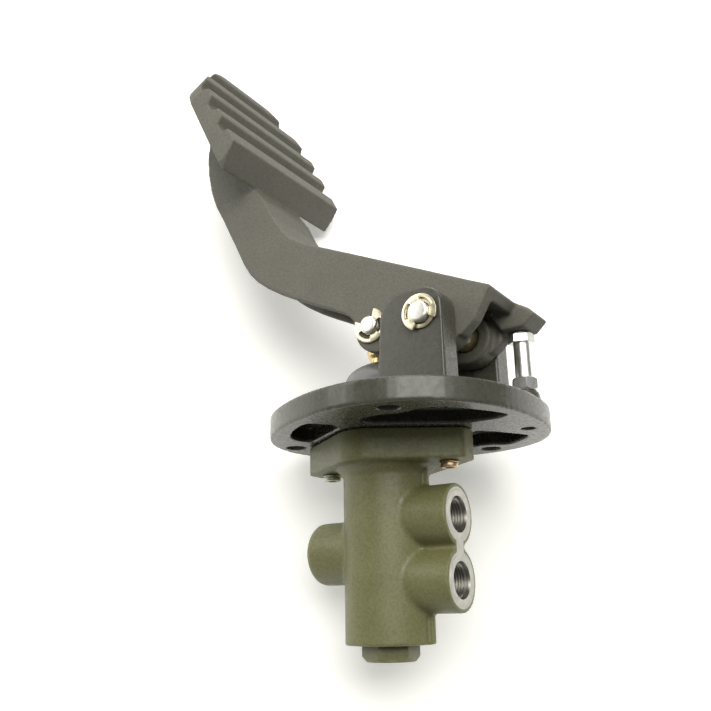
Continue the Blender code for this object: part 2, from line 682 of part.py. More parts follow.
def make_plug():
    top = BODY_BOTTOM - GAP
    plug = chamfered_hex("end_plug", PLUG_AF, top - PLUG_HEAD_T, top, (AX, 0), BODY_PAINT, 6, 1.6)
    neck = PLUG_BORE_R - GAP
    shank = turned("plug_shank", [(0, PLUG_SHANK_TOP), (neck - 0.8, PLUG_SHANK_TOP),
                                  (neck, PLUG_SHANK_TOP - 0.8), (neck, -88.6), (7.6, -88.6),
                                  (7.6, -91.4), (neck, -91.4), (neck, top - 1), (0, top - 1)],
                   None, 36, (AX, 0, 0))
    join(plug, shank)
    turned("plug_seal", [(9.0, -89.0), (9.0, -91.0), (7.9, -91.0), (7.9, -89.0)],
           SEAL, 36, (AX, 0, 0))


def make_plunger():
    profile = [(0, PLUNGER_TOP), (7.1, PLUNGER_TOP), (7.6, PLUNGER_TOP - 0.6),
               (7.6, PLUNGER_TOP - 3.2), (PLUNGER_R, PLUNGER_TOP - 4.6), (PLUNGER_R, 9.0),
               (13.2, 9.0), (13.2, 7.4), (12.0, 7.4), (12.0, 5.0), (13.2, 5.0),
               (13.2, FLANGE_LOW), (4.6, FLANGE_LOW), (4.6, -9.0), (3.8, -10.0), (0, -10.0)]
    plunger = turned("plunger", profile, BRASS, 40, (AX, 0, 0))
    seal = turned("plunger_seal", [(13.3, 7.1), (13.3, 5.3), (12.3, 5.3), (12.3, 7.1)],
                  SEAL, 40, (AX, 0, 0))
    turned("plunger_retainer", [(13.2, 10.9), (13.2, 9.7), (7.4, 9.7), (7.4, 10.9)],
           STEEL, 40, (AX, 0, 0))
    return plunger, seal


def make_spool():
    land, groove = SPOOL_BORE_R - GAP, 4.4
    profile = [(0, SPOOL_TOP), (land, SPOOL_TOP)]
    for high, low in ((-36.0, -43.0), (-50.5, -57.0), (-64.5, -71.5)):
        profile += [(land, high), (groove, high - 1.2), (groove, low + 1.2), (land, low)]
    profile += [(land, SPOOL_LOW + 0.6), (land - 0.6, SPOOL_LOW), (0, SPOOL_LOW)]
    spool = turned("spool", profile, STEEL, 32, (AX, 0, 0))
    seat = turned("spring_seat", [(0, SEAT_TOP + 2.0), (3.4, SEAT_TOP + 2.0), (3.9, SEAT_TOP),
                                  (13.6, SEAT_TOP), (13.6, SPOOL_TOP + GAP), (0, SPOOL_TOP + GAP)],
                  STEEL, 36, (AX, 0, 0))
    return spool, seat


def coil(name, radius, wire, low, high, turns, per_turn=14):
    """A compression spring with closed end turns."""
    curve = bpy.data.curves.new(name + "_curve", "CURVE")
    curve.dimensions = "3D"
    curve.bevel_depth = wire * MM / 2
    curve.bevel_resolution = 2
    curve.use_fill_caps = True
    spline = curve.splines.new("POLY")
    count = int(turns * per_turn)
    spline.points.add(count)
    bottom, top = low + GAP + wire / 2, high - GAP - wire / 2
    dead = wire + GAP
    for i, spot in enumerate(spline.points):
        turn = turns * i / count
        if turn < 1:
            z = bottom + dead * turn
        elif turn > turns - 1:
            z = top - dead * (turns - turn)
        else:
            share = (turn - 1) / (turns - 2)
            z = bottom + dead + (top - bottom - 2 * dead) * share
        a = math.tau * turn
        spot.co = (radius * math.cos(a) * MM, radius * math.sin(a) * MM, z * MM, 1.0)
    guide = bpy.data.objects.new(name + "_guide", curve)
    bpy.context.scene.collection.objects.link(guide)
    bpy.context.view_layer.update()
    graph = bpy.context.evaluated_depsgraph_get()
    mesh = bpy.data.meshes.new_from_object(guide.evaluated_get(graph))
    bpy.data.objects.remove(guide, do_unlink=True)
    shape = bmesh.new()
    shape.from_mesh(mesh)
    bmesh.ops.remove_doubles(shape, verts=shape.verts, dist=0.000001)
    bmesh.ops.recalc_face_normals(shape, faces=shape.faces)
    shape.to_mesh(mesh)
    shape.free()
    obj = bpy.data.objects.new(name, mesh)
    obj.location = (AX * MM, 0, 0)
    return keep(obj, SPRING)


def make_boot():
    base = PLATE_T + 2.6 + GAP
    hole = PLUNGER_R + GAP
    dome = [(BOOT_R - 11.8, BOOT_TOP - 0.4), (BOOT_R - 8.8, BOOT_TOP - 1.4),
            (BOOT_R - 5.2, BOOT_TOP - 3.4), (BOOT_R - 2.4, BOOT_TOP - 6.0),
            (BOOT_R - 0.6, BOOT_TOP - 9.5), (BOOT_R, BOOT_TOP - 13.0), (BOOT_R, base)]
    within = offset_path(dome, -BOOT_WALL)
    profile = [(hole, BOOT_TOP)] + dome + [(BOOT_R - BOOT_WALL, base)] + within[-2::-1]
    profile.append((hole, BOOT_TOP - BOOT_WALL))
    turned("boot", profile, RUBBER, 40, (AX, 0, 0))
    band = BOOT_R + GAP
    turned("boot_clamp", [(band + 1.2, 18.0), (band + 1.2, 14.5), (band, 14.5), (band, 18.0)],
           ZINC, 40, (AX, 0, 0))


make_plate()
make_body()
make_plug()
make_flange_bolts()
make_stop()
bush = make_pivot()
make_boot()
pedal_axis = axis_empty("pedal_axis", (PIVOT[0], 0, PIVOT[1]))
roller_axis = axis_empty("roller_axis", (ROLL[0], 0, ROLL[1]))
plunger_axis = axis_empty("plunger_axis", (AX, 0, 0))
spool_axis = axis_empty("spool_axis", (AX, 0, 0))
riders, roller_obj = make_roller()
ride(pedal_axis, make_pedal(), bush, *riders)
ride(roller_axis, roller_obj)
ride(plunger_axis, *make_plunger())
ride(spool_axis, *make_spool())
coil("outer_spring", 11.0, 2.2, SEAT_TOP, FLANGE_LOW, 5.0)
coil("inner_spring", 6.6, 1.5, SEAT_TOP, FLANGE_LOW, 7.0, 12)
coil("return_spring", 4.9, 1.1, PLUG_SHANK_TOP, SPOOL_LOW, 4.0, 12)
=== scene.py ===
import math

import bmesh
import bpy
from mathutils import Matrix, Vector


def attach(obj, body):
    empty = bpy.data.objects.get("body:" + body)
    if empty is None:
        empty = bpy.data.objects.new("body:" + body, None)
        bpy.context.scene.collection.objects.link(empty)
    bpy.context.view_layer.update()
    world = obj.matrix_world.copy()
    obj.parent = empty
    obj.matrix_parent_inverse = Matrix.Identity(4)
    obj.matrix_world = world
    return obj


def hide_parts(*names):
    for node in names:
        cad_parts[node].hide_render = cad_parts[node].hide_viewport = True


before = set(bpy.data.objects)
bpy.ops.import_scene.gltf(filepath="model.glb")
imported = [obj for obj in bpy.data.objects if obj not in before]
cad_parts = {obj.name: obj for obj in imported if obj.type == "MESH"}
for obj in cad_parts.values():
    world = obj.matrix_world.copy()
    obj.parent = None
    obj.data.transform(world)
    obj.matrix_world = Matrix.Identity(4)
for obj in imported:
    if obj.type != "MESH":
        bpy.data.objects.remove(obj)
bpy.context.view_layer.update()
MM = 0.001

# Sizes in millimetres, in the CAD's frame: places and radii of what the pieces below repeat
PIVOT = (28.4, 46.4)
PIVOT_R, PIVOT_END, PIVOT_GROOVE = 5.0, 40.2, 37.85
ROLL = (-7.6, 52.0)
ROLL_PIN_R, ROLL_PIN_END, ROLL_GROOVE = 4.5, 24.2, 21.75
ROLLER_R = 6.1
BUSH_R = 6.9
WASHER_R = 7.3
E_RING_R = 8.7
E_RING_BAND = 1.9
STOP = (52.8, 20.0)
AX = -14.0
FLANGE_X = -12.5
PORT_Z = (-39.1, -68.1)
PORT_FACE_X = 23.85
SIDE_PORT_Z = -53.5
SIDE_PORT_X = -52.5
PORT_BOSS_R, SIDE_BOSS_R, SIDE_BOSS_END_R = 14.2, 15.0, 12.8
SEAT_R, PORT_HOLE_R, DRILL_R = 11.3, 8.3, 4.0
THREAD_R, THREAD_DEPTH, THREAD_PITCH = 7.7, 0.75, 1.4
BODY_R = 20.7
BODY_LOW_R = 20.9
BODY_BOTTOM = -95.4
FLANGE_TOP = -0.3
FLANGE_LOW = -14.5
FLANGE_HALF_X, FLANGE_HALF_Y, FLANGE_NOSE_CUT = 43.6, 36.0, 8.0
FLANGE_BOLT_X = 33.0
BOOT_R, BOOT_TOP = 19.8, 38.0
PLUNGER_TOP = 45.6
STOP_FLATS, PLUG_FLATS = 11.2, 23.2
SCREW_R, SCREW_HEAD_R, SHIM_R = 3.0, 4.1, 4.7


# Node graphs
class Graph:
    """A material's node tree, with short calls for the nodes used here."""

    def __init__(self, name):
        self.mat = bpy.data.materials.new(name)
        self.mat.use_nodes = True
        self.tree = self.mat.node_tree
        self.bsdf = self.tree.nodes["Principled BSDF"]
        self.spot = self.node("ShaderNodeTexCoord").outputs["Object"]

    def node(self, kind, **inputs):
        made = self.tree.nodes.new(kind)
        for key, value in inputs.items():
            made.inputs[key.replace("_", " ")].default_value = value
        return made

    def link(self, source, target):
        self.tree.links.new(source, target)

    def noise(self, scale, detail=2.0, rough=0.5, stretch=None):
        made = self.node("ShaderNodeTexNoise", Scale=scale, Detail=detail, Roughness=rough)
        if stretch is None:
            self.link(self.spot, made.inputs["Vector"])
        else:
            shape = self.node("ShaderNodeMapping")
            shape.inputs["Scale"].default_value = stretch
            self.link(self.spot, shape.inputs["Vector"])
            self.link(shape.outputs["Vector"], made.inputs["Vector"])
        return made.outputs["Fac"]

    def cells(self, scale):
        made = self.node("ShaderNodeTexVoronoi", Scale=scale)
        made.feature = "SMOOTH_F1"
        made.inputs["Smoothness"].default_value = 0.3
        self.link(self.spot, made.inputs["Vector"])
        return made.outputs["Distance"]

    def span(self, value, low, high, out_low, out_high):
        made = self.node("ShaderNodeMapRange")
        made.inputs["From Min"].default_value = low
        made.inputs["From Max"].default_value = high
        made.inputs["To Min"].default_value = out_low
        made.inputs["To Max"].default_value = out_high
        self.link(value, made.inputs["Value"])
        return made.outputs["Result"]

    def ramp(self, value, stops):
        made = self.node("ShaderNodeValToRGB")
        band = made.color_ramp
        while len(band.elements) < len(stops):
            band.elements.new(0.5)
        for element, (place, colour) in zip(band.elements, stops):
            element.position = place
            element.color = (*colour, 1.0)
        self.link(value, made.inputs["Fac"])
        return made.outputs["Color"]

    def blend(self, factor, one, two, how="MIX"):
        made = self.node("ShaderNodeMix")
        made.data_type = "RGBA"
        made.blend_type = how
        if isinstance(factor, float):
            made.inputs["Factor"].default_value = factor
        else:
            self.link(factor, made.inputs["Factor"])
        for socket, value in ((made.inputs[6], one), (made.inputs[7], two)):
            if isinstance(value, tuple):
                socket.default_value = (*value, 1.0)
            else:
                self.link(value, socket)
        return made.outputs[2]

    def bump(self, height, distance, strength=1.0, before=None):
        made = self.node("ShaderNodeBump", Strength=strength, Distance=distance)
        self.link(height, made.inputs["Height"])
        if before is not None:
            self.link(before, made.inputs["Normal"])
        return made.outputs["Normal"]

    def colour(self, value):
        self.link(value, self.bsdf.inputs["Base Color"])

    def rough(self, value):
        self.link(value, self.bsdf.inputs["Roughness"])

    def normal(self, value):
        self.link(value, self.bsdf.inputs["Normal"])

    def math(self, how, one, two):
        made = self.node("ShaderNodeMath")
        made.operation = how
        for socket, value in zip(made.inputs, (one, two)):
            if isinstance(value, float):
                socket.default_value = value
            else:
                self.link(value, socket)
        return made.outputs[0]

    def inside(self, low, high, radius):
        """A mask that is 1 between two heights and within a radius of Z."""
        parts = self.node("ShaderNodeSeparateXYZ")
        self.link(self.spot, parts.inputs[0])
        x, y, z = parts.outputs
        reach = self.math("ADD", self.math("MULTIPLY", x, x), self.math("MULTIPLY", y, y))
        mask = self.math("MULTIPLY", self.span(z, low, low + 0.0006, 0.0, 1.0),
                         self.span(z, high, high + 0.0006, 1.0, 0.0))
        return self.math("MULTIPLY", mask, self.math("LESS_THAN", reach, radius * radius))

    def faced(self, face, heights, radius):
        """A mask that is 1 on end faces at an X, round axes at two heights and between them."""
        parts = self.node("ShaderNodeSeparateXYZ")
        self.link(self.spot, parts.inputs[0])
        x, y, z = parts.outputs
        across = self.math("MULTIPLY", y, y)
        strip = self.math("MULTIPLY", self.math("LESS_THAN", z, heights[0]),
                          self.math("GREATER_THAN", z, heights[1]))
        shape = self.math("MULTIPLY", strip, self.math("LESS_THAN", across, 0.0035 ** 2))
        for height in heights:
            along = self.math("SUBTRACT", z, height)
            reach = self.math("ADD", across, self.math("MULTIPLY", along, along))
            shape = self.math("MAXIMUM", shape, self.span(reach, (radius - 0.0003) ** 2,
                                                          radius ** 2, 1.0, 0.0))
        return self.math("MULTIPLY", shape,
                         self.span(x, face - 0.0003, face - 0.0002, 0.0, 1.0))

    def edge_wear(self, low, high):
        """A mask that is high on convex edges, from the mesh's own curvature."""
        point = self.node("ShaderNodeNewGeometry").outputs["Pointiness"]
        return self.span(point, low, high, 0.0, 1.0)


def shade(colour, factor):
    return tuple(min(1.0, c * factor) for c in colour)


def cast_paint(name, colour, rough, grain, peel, light, dark, painted_shade_recess=None, machined=None):
    """Paint over a sand casting: grain, soft waviness and mottled colour.

    A recess is (low z, high z, radius): there the colour is darkened as painted shade, for the
    little light that gets in.
    Machined is (x, heights, radius, colour): the bare end faces of round bosses.
    """
    g = Graph(name)
    cloud = g.noise(55.0, 3.0, 0.55)
    fleck = g.noise(900.0, 2.0, 0.6)
    base = g.ramp(cloud, [(0.3, shade(colour, dark)), (0.7, shade(colour, light))])
    spots = g.ramp(fleck, [(0.36, (0.72, 0.72, 0.72)), (0.5, (1.0, 1.0, 1.0)),
                           (0.68, (1.22, 1.2, 1.16))])
    tone = g.blend(0.55, base, spots, "MULTIPLY")
    worn = g.edge_wear(0.53, 0.60)
    tone = g.blend(g.span(worn, 0.0, 1.0, 0.0, 0.35), tone, shade(colour, 1.9))
    if painted_shade_recess is not None:
        # Painted shade: darker colour inside the recess, where little light gets in
        tone = g.blend(g.inside(*painted_shade_recess), tone, shade(colour, 0.45))
    if machined is not None:
        bare = g.faced(*machined[:3])
        tone = g.blend(bare, tone, machined[3])
        g.link(bare, g.bsdf.inputs["Metallic"])
    g.colour(tone)
    g.rough(g.span(g.noise(420.0, 3.0), 0.3, 0.7, rough - 0.07, rough + 0.09))
    wave = g.bump(g.noise(230.0, 2.0, 0.5), peel)
    sand = g.bump(g.noise(1150.0, 4.0, 0.62), grain, 1.0, wave)
    pits = g.bump(g.span(g.cells(620.0), 0.0, 0.28, 0.0, 1.0), grain * 0.8, 0.5, sand)
    g.normal(pits)
    return g


def metal(name, colour, rough, scratch=0.00001, stretch=(1.0, 1.0, 1.0), spread=0.08):
    """Bare or plated metal with fine marks and uneven gloss."""
    g = Graph(name)
    g.bsdf.inputs["Metallic"].default_value = 1.0
    tint = g.noise(160.0, 3.0, 0.6)
    g.colour(g.ramp(tint, [(0.3, shade(colour, 0.86)), (0.7, shade(colour, 1.06))]))
    marks = g.noise(900.0, 3.0, 0.6, stretch)
    g.rough(g.span(marks, 0.3, 0.7, rough - spread * 0.5, rough + spread))
    g.normal(g.bump(marks, scratch))
    return g


def turned_metal(name, colour, rough, centre, axis, pitch=0.00035, depth=0.000006):
    """Machined metal with the rings that a lathe leaves round an axis."""
    g = Graph(name)
    g.bsdf.inputs["Metallic"].default_value = 1.0
    move = g.node("ShaderNodeMapping")
    move.inputs["Location"].default_value = tuple(-c * MM for c in centre)
    g.link(g.spot, move.inputs["Vector"])
    rings = g.node("ShaderNodeTexWave", Scale=1.0 / (pitch * 20.0), Distortion=0.6,
                   Detail=1.0)
    rings.wave_type = "RINGS"
    rings.rings_direction = axis
    g.link(move.outputs["Vector"], rings.inputs["Vector"])
    tint = g.noise(240.0, 3.0, 0.6)
    g.colour(g.ramp(tint, [(0.3, shade(colour, 0.82)), (0.72, shade(colour, 1.05))]))
    g.rough(g.span(g.noise(600.0, 2.0), 0.3, 0.7, rough - 0.04, rough + 0.08))
    g.normal(g.bump(rings.outputs["Fac"], depth, 0.8))
    return g


def rubber(name, colour, rough, light):
    g = Graph(name)
    g.colour(g.ramp(g.noise(120.0, 3.0), [(0.32, shade(colour, 0.8)), (0.7, light)]))
    g.rough(g.span(g.noise(380.0, 3.0), 0.3, 0.7, rough - 0.08, rough + 0.1))
    g.normal(g.bump(g.noise(700.0, 3.0, 0.6), 0.00002))
    return g


PEDAL_COLOUR = (0.114, 0.110, 0.088)
PLATE_COLOUR = (0.060, 0.058, 0.044)
BODY_COLOUR = (0.160, 0.158, 0.067)
PORT_METAL = (0.46, 0.45, 0.41)

MATERIALS = {
    "pedal": cast_paint("pedal_cast_paint", PEDAL_COLOUR, 0.62, 0.00005, 0.00003, 1.05, 0.96),
    # The plate's pockets and holes get painted shade: darker colour between 0.8 and 8 mm height,
    # within 60 mm of the axis
    "plate": cast_paint("plate_cast_paint", PLATE_COLOUR, 0.27, 0.000004, 0.00004, 1.06, 0.95,
                        painted_shade_recess=(0.0008, 0.0080, 0.060)),
    "body": cast_paint("body_cast_paint", BODY_COLOUR, 0.44, 0.00003, 0.00005, 1.06, 0.94,
                       machined=(PORT_FACE_X * MM, (PORT_Z[0] * MM, PORT_Z[1] * MM), 0.0126,
                                 PORT_METAL)),
    "pin": turned_metal("pin_steel", (0.90, 0.88, 0.82), 0.36, (PIVOT[0], 0, PIVOT[1]), "Y"),
    "roll_pin": turned_metal("roller_pin_steel", (0.90, 0.88, 0.82), 0.36,
                             (ROLL[0], 0, ROLL[1]), "Y"),
    "ring": metal("yellow_zinc", (0.78, 0.72, 0.52), 0.3),
    "flange_zinc": metal("copper_zinc", (0.62, 0.46, 0.28), 0.34),
    "pale_zinc": metal("pale_zinc", (0.50, 0.52, 0.38), 0.36),
    "zinc": metal("bright_zinc", (0.84, 0.84, 0.82), 0.3, 0.000006, (1, 1, 0.2), 0.1),
    # Darker steel for the faces inside the port holes: painted shade
    "thread": metal("thread_steel_painted_shade", (0.26, 0.25, 0.22), 0.36, 0.00001, (1, 1, 1), 0.1),
    "port": turned_metal("port_steel", PORT_METAL, 0.36, (0, 0, PORT_Z[0]), "X"),
    "port_low": turned_metal("port_steel_lower", PORT_METAL, 0.36,
                             (0, 0, PORT_Z[1]), "X"),
    "port_side": turned_metal("port_steel_side", PORT_METAL, 0.36,
                              (0, 0, SIDE_PORT_Z), "X"),
    "brass": turned_metal("brass", (0.82, 0.62, 0.31), 0.26, (AX, 0, 0), "Z"),
    "bronze": turned_metal("bronze", (0.62, 0.54, 0.34), 0.34, (PIVOT[0], 0, PIVOT[1]), "Y"),
    "steel": turned_metal("valve_steel", (0.6, 0.6, 0.58), 0.28, (AX, 0, 0), "Z"),
    "spring": metal("spring_wire", (0.42, 0.42, 0.41), 0.34),
    "boot": rubber("boot_rubber", (0.150, 0.152, 0.152), 0.4, (0.20, 0.2, 0.195)),
    "seal": rubber("seal_rubber", (0.02, 0.02, 0.02), 0.5, (0.035, 0.035, 0.035)),
}


def paint(obj, *names):
    obj.data.materials.clear()
    for name in names:
        obj.data.materials.append(MATERIALS[name].mat)


# Shape helpers
def place(obj):
    bpy.context.scene.collection.objects.link(obj)
    return obj


def smooth_shade(obj, angle):
    obj.data.shade_smooth()
    obj.data.set_sharp_from_angle(angle=math.radians(angle))


def from_profile(name, profile, steps, spot, aim="Z"):
    """A turned shape from its (radius, height) points; off the axis they close into a ring."""
    shape = bmesh.new()
    rings = []
    for r, z in profile:
        if r == 0:
            rings.append([shape.verts.new((0, 0, z * MM))])
        else:
            rings.append([shape.verts.new((r * MM * math.cos(math.tau * i / steps),
                                           r * MM * math.sin(math.tau * i / steps), z * MM))
                          for i in range(steps)])
    pairs = list(zip(rings, rings[1:]))
    if profile[0][0] != 0 and profile[-1][0] != 0:
        pairs.append((rings[-1], rings[0]))
    for up, low in pairs:
        for i in range(steps):
            j = (i + 1) % steps
            if len(up) == 1:
                shape.faces.new((up[0], low[i], low[j]))
            elif len(low) == 1:
                shape.faces.new((up[i], low[0], up[j]))
            else:
                shape.faces.new((up[i], low[i], low[j], up[j]))
    turn = {"Z": Matrix.Identity(4), "X": Matrix.Rotation(math.radians(90), 4, "Y"),
            "-X": Matrix.Rotation(math.radians(-90), 4, "Y"),
            "-Y": Matrix.Rotation(math.radians(90), 4, "X")}[aim]
    where = Matrix.Translation(Vector(spot) * MM)
    bmesh.ops.transform(shape, matrix=where @ turn, verts=shape.verts)
    bmesh.ops.recalc_face_normals(shape, faces=shape.faces)
    mesh = bpy.data.meshes.new(name)
    shape.to_mesh(mesh)
    shape.free()
    obj = place(bpy.data.objects.new(name, mesh))
    smooth_shade(obj, 35.0)
    return obj


def prism(name, outline, low, high, frame_matrix=None):
    """A flat outline with a thickness, as a finished mesh."""
    shape = bmesh.new()
    bottom = [shape.verts.new((x * MM, y * MM, low * MM)) for x, y in outline]
    top = [shape.verts.new((x * MM, y * MM, high * MM)) for x, y in outline]
    shape.faces.new(bottom)
    shape.faces.new(top)
    count = len(outline)
    for i in range(count):
        j = (i + 1) % count
        shape.faces.new((bottom[i], bottom[j], top[j], top[i]))
    bmesh.ops.triangulate(shape, faces=[f for f in shape.faces if len(f.verts) > 4])
    if frame_matrix is not None:
        bmesh.ops.transform(shape, matrix=frame_matrix, verts=shape.verts)
    bmesh.ops.recalc_face_normals(shape, faces=shape.faces)
    mesh = bpy.data.meshes.new(name)
    shape.to_mesh(mesh)
    shape.free()
    return place(bpy.data.objects.new(name, mesh))


ON_SIDE = Matrix.Rotation(math.radians(90), 4, "X")


def side_prism(name, outline, y0, y1):
    return prism(name, outline, -y1, -y0, ON_SIDE)


def bake(obj):
    """Turn an object's modifiers into its mesh."""
    bpy.context.view_layer.update()
    graph = bpy.context.evaluated_depsgraph_get()
    mesh = bpy.data.meshes.new_from_object(obj.evaluated_get(graph))
    old = obj.data
    obj.modifiers.clear()
    obj.data = mesh
    bpy.data.meshes.remove(old)
    return obj


def merge(obj, *others):
    """A Boolean union, then the added shapes are removed."""
    for other in others:
        mod = obj.modifiers.new("join", "BOOLEAN")
        mod.operation = "UNION"
        mod.solver = "EXACT"
        mod.object = other
    bake(obj)
    for other in others:
        bpy.data.objects.remove(other, do_unlink=True)
    return obj


def carve(obj, *cutters, solver="MANIFOLD"):
    """A Boolean difference, then the cutters are removed."""
    for cutter in cutters:
        mod = obj.modifiers.new("cut", "BOOLEAN")
        mod.operation = "DIFFERENCE"
        mod.solver = solver
        mod.object = cutter
    bake(obj)
    for cutter in cutters:
        bpy.data.objects.remove(cutter, do_unlink=True)
    return obj


def soften(obj, voxel, rounds, ratio=1.0):
    """Round a shape's edges and fillet its corners as a mould does."""
    mesh = obj.modifiers.new("voxels", "REMESH")
    mesh.mode = "VOXEL"
    mesh.voxel_size = voxel * MM
    mesh.adaptivity = 0.0
    even = obj.modifiers.new("smooth", "SMOOTH")
    even.factor = 0.5
    even.iterations = rounds
    if ratio < 1.0:
        fewer = obj.modifiers.new("fewer", "DECIMATE")
        fewer.ratio = ratio
    return bake(obj)


def cad_copy(name, node):
    """A welded copy of a CAD node, to be worked into a finer piece."""
    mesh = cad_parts[node].data.copy()
    shape = bmesh.new()
    shape.from_mesh(mesh)
    bmesh.ops.remove_doubles(shape, verts=shape.verts, dist=0.000002)
    shape.to_mesh(mesh)
    shape.free()
    mesh.materials.clear()
    mesh.name = name
    return place(bpy.data.objects.new(name, mesh))


def bevel(obj, width, segments, angle):
    mod = obj.modifiers.new("edges", "BEVEL")
    mod.width = width * MM
    mod.segments = segments
    mod.limit_method = "ANGLE"
    mod.angle_limit = math.radians(angle)
    return bake(obj)


def finish_piece(obj, body, mats, nodes, angle):
    """Materials, shading and body of a piece, and the CAD nodes it stands for, which are hidden."""
    paint(obj, *mats)
    smooth_shade(obj, angle)
    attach(obj, body)
    if nodes:
        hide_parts(*nodes)
    return obj


# Castings
def make_pedal():
    pedal = cad_copy("pedal_casting", "pedal")
    soften(pedal, 0.8, 2, 0.5)
    finish_piece(pedal, "pedal", ["pedal"], ["pedal"], 60)


def make_plate():
    plate = cad_copy("plate_casting", "mounting_plate")
    soften(plate, 0.75, 3, 0.5)
    finish_piece(plate, "valve", ["plate"], ["mounting_plate"], 60)


def body_core():
    """Barrel, port bosses and web, left long where a cut gives the flat face."""
    core = from_profile("body_casting", [(0, -8), (BODY_R, -8), (BODY_LOW_R, -104), (0, -104)],
                        96, (AX, 0, 0))
    parts = []
    reach = PORT_FACE_X - AX + 3.0
    for z in PORT_Z:
        parts.append(from_profile("boss", [(0, reach), (PORT_BOSS_R, reach), (PORT_BOSS_R, 2),
                                           (0, 2)], 72, (AX, 0, z), "X"))
    out = AX - SIDE_PORT_X
    parts.append(from_profile("boss", [(0, out), (SIDE_BOSS_END_R, out),
                                       (SIDE_BOSS_R, out - 2.6), (SIDE_BOSS_R, 2), (0, 2)],
                              72, (AX, 0, SIDE_PORT_Z), "-X"))
    web = side_prism("web", [(AX + 4, PORT_Z[1]), (PORT_FACE_X + 3, PORT_Z[1]),
                             (PORT_FACE_X + 3, PORT_Z[0]), (AX + 4, PORT_Z[0])], -4.4, 4.4)
    merge(core, *parts, web)
    return soften(core, 0.7, 16)


def make_body():
    core = body_core()
    end = side_prism("end_cut", [(PORT_FACE_X, -10), (60, -10), (60, -90), (PORT_FACE_X, -90)],
                     -30, 30)
    foot = side_prism("foot_cut", [(-60, BODY_BOTTOM), (-60, -130), (40, -130), (40, BODY_BOTTOM)],
                      -40, 40)
    carve(core, end, foot)
    flange = body_flange()
    fin = side_prism("fin", [(AX + 12, -80.0), (AX + 21.4, -79.6), (AX + 23.2, -81.0),
                             (AX + 23.2, BODY_BOTTOM + 0.3), (AX + 12, BODY_BOTTOM + 0.3)],
                     -1.5, 1.5)
    upper_fin = side_prism("fin", [(AX + 12, -30.0), (AX + 22.6, -30.0), (AX + 23.4, -13.0),
                                   (AX + 12, -13.0)], -1.4, 1.4)
    merge(core, flange, fin, upper_fin)
    soften(core, 0.62, 3, 0.6)
    spool_bore = from_profile("bore", [(0, 2), (14.5, 2), (14.5, -33.6), (7.0, -33.6),
                                       (7.0, -83), (9.3, -85.3), (9.3, -99), (0, -99)],
                              72, (AX, 0, 0))
    carve(core, port_bore(PORT_Z[0], 36.9, 21.0, "X"), port_bore(PORT_Z[1], 36.9, 21.0, "X"),
          port_bore(SIDE_PORT_Z, 37.5, 23.0, "-X"), spool_bore)
    finish_piece(core, "valve", ["body"],
                 ["valve_body", "port_block", "side_port_boss"], 45)


def port_bore(z, seat, hole_end, aim):
    """The cutter of a port: its seat, its threaded hole and the drilling to the spool."""
    profile = [(0, 50), (SEAT_R, 50), (SEAT_R, seat), (PORT_HOLE_R, seat),
               (PORT_HOLE_R, hole_end), (DRILL_R, hole_end - 1.4), (DRILL_R, 2.0), (0, 2.0)]
    return from_profile("bore", profile, 72, (AX, 0, z), aim)


def body_flange():
    """The six-sided flange with rounded corners, and the root that flares into it."""
    long = FLANGE_HALF_X + FLANGE_NOSE_CUT
    end_y = FLANGE_HALF_Y * FLANGE_NOSE_CUT / long
    corners = [(FLANGE_HALF_X, -end_y), (FLANGE_HALF_X, end_y), (0, FLANGE_HALF_Y),
               (-FLANGE_HALF_X, end_y), (-FLANGE_HALF_X, -end_y), (0, -FLANGE_HALF_Y)]
    radii = (1.8, 1.8, 12.0)
    points = []
    for i, corner in enumerate(corners):
        here = Vector(corner)
        back = Vector(corners[i - 1]) - here
        ahead = Vector(corners[(i + 1) % 6]) - here
        reach = min(radii[i % 3], back.length * 0.45, ahead.length * 0.45)
        start = here + back.normalized() * reach
        stop = here + ahead.normalized() * reach
        for k in range(9):
            t = k / 8
            spot = start * (1 - t) ** 2 + here * 2 * t * (1 - t) + stop * t ** 2
            points.append((spot.x + FLANGE_X, spot.y))
    flange = prism("flange", points, FLANGE_LOW, FLANGE_TOP)
    root = from_profile("root", [(0, -10), (25.5, -10), (23.6, -15.6), (21.6, -17.6), (20, -20),
                                 (0, -20)], 72, (AX, 0, 0))
    return merge(flange, root)


def thread(radius, depth, pitch, start, stop):
    """Zigzag profile points of an internal thread, from the mouth inward."""
    points = []
    z = start
    while z > stop:
        points += [(radius, z), (radius - depth, z - pitch / 2)]
        z -= pitch
    return points


def port_insert(name, face, depth, spot, aim, mat):
    """Machined seat and thread of a port, seen as bare metal; the thread's steel is darker, as
    painted shade inside the hole.
    """
    lip = face + 0.06
    profile = [(8.3, lip), (11.2, lip), (11.35, face - 0.1), (11.35, face - 1.0), (8.6, face - 1.0),
               (8.6, face - depth), (7.5, face - depth)]
    zig = thread(THREAD_R, THREAD_DEPTH, THREAD_PITCH, face - 1.6, face - depth + 0.4)
    profile += list(reversed(zig)) + [(7.8, face - 1.0)]
    piece = from_profile(name, profile, 72, spot, aim)
    finish_piece(piece, "valve", [mat, "thread"], (), 25)
    # Faces inside the hole take the darker thread steel, as painted shade
    for side in piece.data.polygons:
        if math.hypot(side.center.y, side.center.z - spot[2] * MM) < 8.2 * MM:
            side.material_index = 1


def make_ports():
    length = PORT_FACE_X - AX
    port_insert("port_seat_upper", length, 16.0, (AX, 0, PORT_Z[0]), "X", "port")
    port_insert("port_seat_lower", length, 16.0, (AX, 0, PORT_Z[1]), "X", "port_low")
    port_insert("port_seat_side", AX - SIDE_PORT_X, 15.0, (AX, 0, SIDE_PORT_Z), "-X",
                "port_side")


